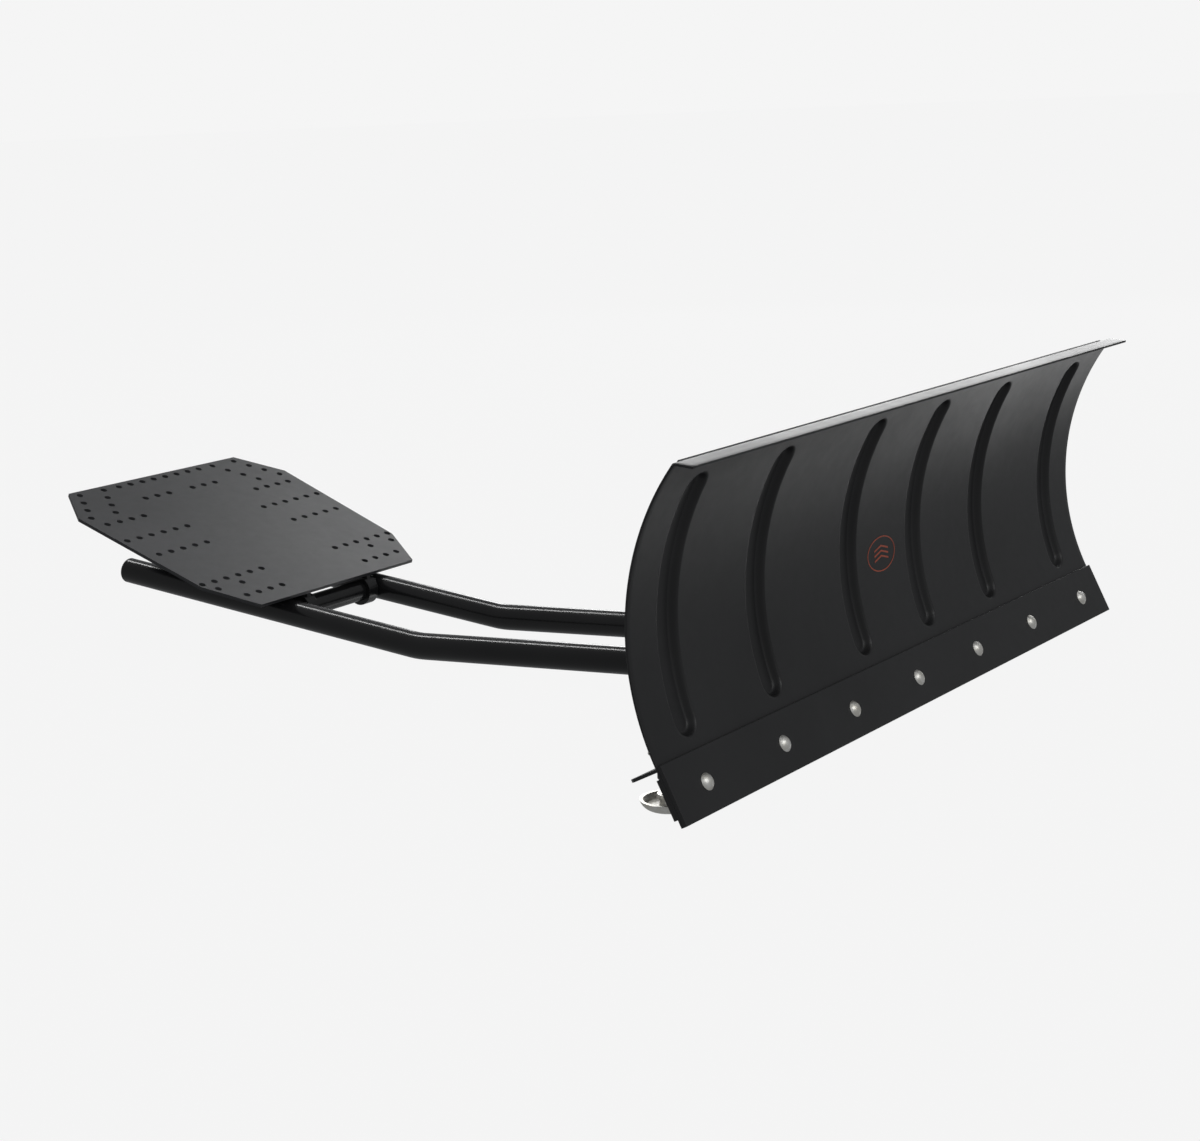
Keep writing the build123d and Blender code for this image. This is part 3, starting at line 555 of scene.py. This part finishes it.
def weldTubeEnd(shape, tubeName, plateName):
    # the ring where a push tube stands on the back of the head plate
    low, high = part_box(tubeName)
    x = (low.x + high.x) / 2
    radius = (high.x - low.x) / 2
    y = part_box(plateName)[1].y + 0.0006
    crown = castOnto(tubeName, (x, y, high.z + 0.1), (0.0, 0.0, -1.0))
    centre = crown - Vector((0.0, 0.0, radius))
    turns = [2 * pi * step / weldLook["tubeSteps"] for step in range(weldLook["tubeSteps"] + 1)]
    path = [centre + Vector((cos(turn), 0.0, sin(turn))) * radius for turn in turns]
    layBead(shape, path, weldLook)


def finishBeads(shape, name, body, slot):
    piece = makePiece(name, shape, finishes[slot], 60.0)
    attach(piece, body)
    return piece


frameBeads = bmesh.new()
for side, word in ((-1, "left"), (1, "right")):
    weldTubeJoint(frameBeads, "front_cross_tube", "push_tube_" + word, side)
    weldTubeJoint(frameBeads, "rear_cross_tube", "push_tube_" + word, side)
    weldTubeEnd(frameBeads, "push_tube_" + word, "head_plate")
finishBeads(frameBeads, "frameWelds", "push_frame", "black_paint")


def weldRib(shape, word):
    # down both sides of a rib, where it stands on the back of the blade
    low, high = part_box("blade_rib_" + word)
    rib = surfaces["blade_rib_" + word]
    for x in (low.x - 0.0008, high.x + 0.0008):
        path = []
        steps = weldLook["ribSteps"]
        for step in range(steps + 1):
            z = low.z + 0.004 + (high.z - low.z - 0.008) * step / steps
            place = castOnto("mouldboard", (x, high.y + 0.2, z), (0.0, -1.0, 0.0))
            if place is not None and (rib.closest_point_on_mesh(place)[1] - place).length < 0.003:
                path.append(place)
        layBead(shape, path, weldLook)


bladeBeads = bmesh.new()
for word in ("left", "right"):
    weldRib(bladeBeads, word)
finishBeads(bladeBeads, "bladeWelds", "blade", "blade_paint")
print("welds laid")


# a printed ring round three chevrons
badgeShape = {
    "middle": Vector((0.003, 0.0, 0.190)),
    "halfWidth": 0.036,
    "halfHeight": 0.0225,
    "line": 0.0014,
    "lift": 0.00025,
    "markWidth": 0.036,
    "markRise": 0.0052,
    "markLine": 0.0022,
    "marks": 3,
}


def pressOntoBlade(shape, lift):
    # moves a flat print back until it lies on the blade's front
    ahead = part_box("mouldboard")[0].y - 0.1
    for vertex in shape.verts:
        place = castOnto("mouldboard", (vertex.co.x, ahead, vertex.co.z), (0.0, 1.0, 0.0))
        vertex.co = place + Vector((0.0, -lift, 0.0))


def printBadge(look):
    shape = bmesh.new()
    upright = Matrix.Translation(look["middle"]) @ Matrix.Rotation(pi / 2, 4, "X")
    for inset in (0.0, look["line"]):
        oval = Matrix.Diagonal((look["halfWidth"] - inset, look["halfHeight"] - inset, 1.0, 1.0))
        bmesh.ops.create_circle(shape, segments=72, radius=1.0, matrix=upright @ oval)
    bmesh.ops.bridge_loops(shape, edges=list(shape.edges))
    for mark in range(look["marks"]):
        base = look["middle"].z + (mark - (look["marks"] - 1) / 2) * look["markRise"] * 1.25 - look["markRise"] / 2
        for vertex in bmesh.ops.create_grid(shape, x_segments=16, y_segments=1, size=0.5)["verts"]:
            across, up = vertex.co.x, vertex.co.y + 0.5
            height = base + look["markRise"] * (1 - 2 * abs(across)) + look["markLine"] * up
            vertex.co = (look["middle"].x + across * look["markWidth"], 0.0, height)
    pressOntoBlade(shape, look["lift"])
    bmesh.ops.recalc_face_normals(shape, faces=shape.faces)
    # the front side faces the way the blade does
    wrong = [face for face in shape.faces if face.normal.y > 0]
    bmesh.ops.reverse_faces(shape, faces=wrong)
    bmesh.ops.solidify(shape, geom=shape.faces[:], thickness=look["lift"])
    piece = makePiece("bladeBadge", shape, badgeInk)
    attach(piece, "blade")
    return piece


printBadge(badgeShape)
print("badge printed")


studio = {
    "pale": (0.913, 0.913, 0.913),
    "radius": 40.0,
    "floorGlow": 0.99,
    "floorTone": 0.004,
    "worldTone": (0.30, 0.305, 0.31),
}


def makePaleShade(name, glow, albedo):
    paint = Paint(name)
    return paint.finish({
        "Base Color": (albedo, albedo, albedo, 1.0),
        "Roughness": 1.0,
        "Specular IOR Level": 0.0,
        "Emission Color": (*studio["pale"], 1.0),
        "Emission Strength": glow,
    })


def makeStudio(look):
    ground = bmesh.new()
    bmesh.ops.create_circle(ground, cap_ends=True, segments=96, radius=look["radius"])
    floor = makePiece("floor", ground, makePaleShade("floorShade", look["floorGlow"], look["floorTone"]))
    dome = bmesh.new()
    bmesh.ops.create_uvsphere(dome, u_segments=96, v_segments=48, radius=look["radius"])
    bmesh.ops.bisect_plane(dome, geom=dome.verts[:] + dome.edges[:] + dome.faces[:],
                           plane_co=(0, 0, 0), plane_no=(0, 0, 1), clear_inner=True)
    backdrop = makePiece("backdrop", dome, makePaleShade("backdropShade", 1.0, 0.0))
    for sheet in (floor, backdrop):
        sheet.visible_glossy = False
        sheet.visible_diffuse = False
        sheet.visible_shadow = False
    world = bpy.data.worlds.new("studioWorld")
    world.use_nodes = True
    background = world.node_tree.nodes["Background"]
    background.inputs["Color"].default_value = (*look["worldTone"], 1.0)
    background.inputs["Strength"].default_value = 1.0
    bpy.context.scene.world = world


# each softbox: where it stands, what it points at, its width and height, and its power
softboxes = {
    "rearBox": {"at": (4.5, 1.3, 1.45), "aim": (0.0, -0.6, 0.4), "size": (3.6, 2.0), "power": 120.0},
    "stripBox": {"at": (0.9, 2.7, 4.0), "aim": (0.0, 0.0, 0.05), "size": (0.34, 2.6), "power": 48.0},
    "topBox": {"at": (0.4, 0.2, 4.2), "aim": (0.0, 0.0, 0.0), "size": (3.0, 2.4), "power": 34.0},
    "lowBox": {"at": (4.2, -0.5, -2.1), "aim": (0.2, -0.6, 0.35), "size": (2.6, 2.0), "power": 22.0},
    "frontBox": {"at": (-1.0, -5.0, 4.0), "aim": (0.0, -0.6, 0.2), "size": (2.6, 2.0), "power": 90.0},
}


def makeSoftbox(name, look):
    lamp = bpy.data.lights.new(name, "AREA")
    lamp.shape = "RECTANGLE"
    lamp.size, lamp.size_y = look["size"]
    lamp.energy = look["power"]
    box = bpy.data.objects.new(name, lamp)
    at = Vector(look["at"])
    box.matrix_world = Matrix.Translation(at) @ (Vector(look["aim"]) - at).to_track_quat("-Z", "Y").to_matrix().to_4x4()
    box.visible_camera = False
    bpy.context.scene.collection.objects.link(box)


view = {
    "place": (-2.6165, -2.0187, 0.8066),
    "heading": -54.66,
    "dip": 11.907,
    "roll": -2.396,
    "focal": 71.18,
    "sensor": 36.0,
}


def makeCamera(look):
    # heading turns about the vertical, dip looks down, roll tilts the horizon
    camera = bpy.data.cameras.new("camera")
    camera.lens = look["focal"]
    camera.sensor_width = look["sensor"]
    camera.clip_end = 100.0
    holder = bpy.data.objects.new("camera", camera)
    turn = Matrix.Rotation(radians(look["heading"]), 4, "Z") @ Matrix.Rotation(radians(90 - look["dip"]), 4, "X")
    holder.matrix_world = Matrix.Translation(look["place"]) @ turn @ Matrix.Rotation(radians(look["roll"]), 4, "Z")
    bpy.context.scene.collection.objects.link(holder)
    bpy.context.scene.camera = holder


makeStudio(studio)
for name, look in softboxes.items():
    makeSoftbox(name, look)
makeCamera(view)
bpy.context.scene.view_settings.view_transform = "Standard"
print("studio ready")
